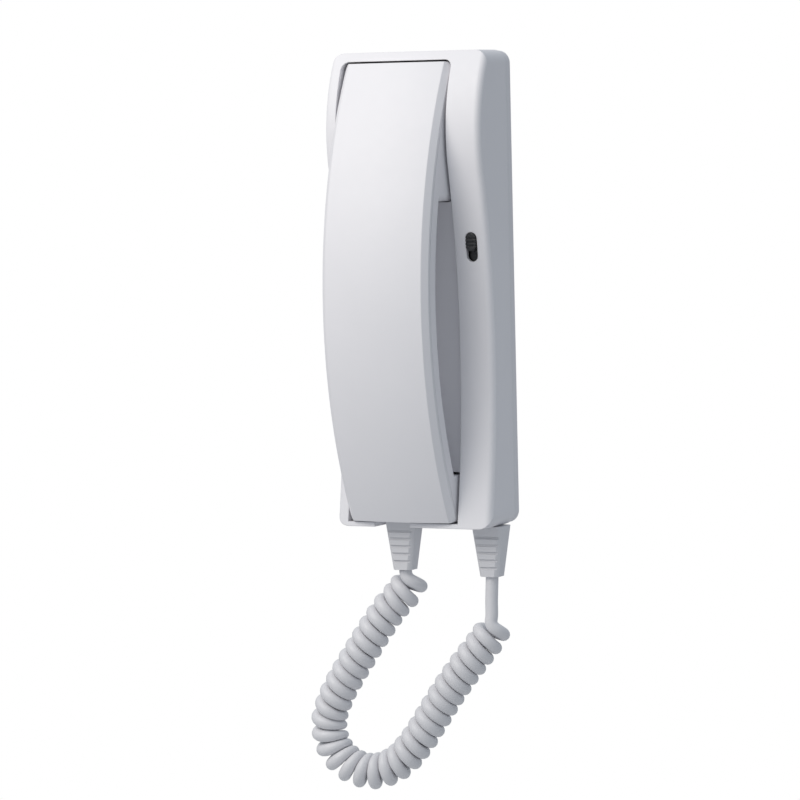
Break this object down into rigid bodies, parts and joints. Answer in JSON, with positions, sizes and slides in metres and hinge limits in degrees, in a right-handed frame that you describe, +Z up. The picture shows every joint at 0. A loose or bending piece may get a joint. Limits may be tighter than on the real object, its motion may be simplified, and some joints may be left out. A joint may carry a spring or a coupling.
{
  "type": "audio intercom handset",
  "caption": "White wall intercom with an arched handset resting in a recessed cradle, a volume slider beside it and a curly cord hanging between strain relief boots.",
  "frame": {"origin": "centre of the wall plate's back face, on the wall", "axes": "+Z up along the unit's height, +Y into the wall, front towards -Y, +X to the right seen from the front"},
  "size_m": [0.095, 0.0561, 0.3293],
  "materials": {
    "white_plastic": "satin moulded",
    "grey_plastic": "matt moulded",
    "ivory_plastic": "matt moulded",
    "black_plastic": "matt moulded",
    "blue_plastic": "matt moulded",
    "cord_rubber": "satin",
    "black_rubber": "matt",
    "steel": "plated",
    "zinc_steel": "zinc plated",
    "dark_metal": "coated",
    "can_metal": "bright",
    "circuit_board": "lacquered"
  },
  "bodies": {
    "wall_unit": {"base_cover": "white_plastic", "wall_plate": "grey_plastic", "cover_screws": "steel", "main_board": "circuit_board", "board_screws": "steel", "terminal_block": "blue_plastic", "terminal_screws": "steel", "sounder": "black_plastic", "hook_bracket": "zinc_steel", "hook_pivot_pin": "steel", "hook_switch": "black_plastic", "slide_switch": "black_plastic", "base_cord_boot": "cord_rubber", "curly_cord": "cord_rubber"},
    "hook": {"hook_lever": "ivory_plastic"},
    "slider": {"volume_slider": "black_plastic"},
    "handset": {"handset_front_shell": "white_plastic", "handset_rear_shell": "white_plastic", "handset_screws": "steel", "receiver": "dark_metal", "receiver_gasket": "black_rubber", "receiver_clamp": "zinc_steel", "clamp_screws": "steel", "microphone": "can_metal", "microphone_boot": "black_rubber", "ballast_weight": "dark_metal", "handset_board": "circuit_board", "handset_cord_boot": "cord_rubber"}
  },
  "joints": [
    {"name": "handset_lift", "type": "slide", "parent": "wall_unit", "child": "handset", "axis": [0, -1, 0], "range_m": [0, 0.05], "deforming": ["curly_cord"]},
    {"name": "hook_swing", "type": "hinge", "parent": "wall_unit", "child": "hook", "pos_m": [-0.00525, -0.015, 0.012], "axis": [1, 0, 0], "range_deg": [0, 11.5]},
    {"name": "volume_slide", "type": "slide", "parent": "wall_unit", "child": "slider", "axis": [0, 0, 1], "range_m": [-0.0044, 0]}
  ],
  "couplings": [
    {"joint": "hook_swing", "follows": "handset_lift", "rad_per_m": 4}
  ]
}
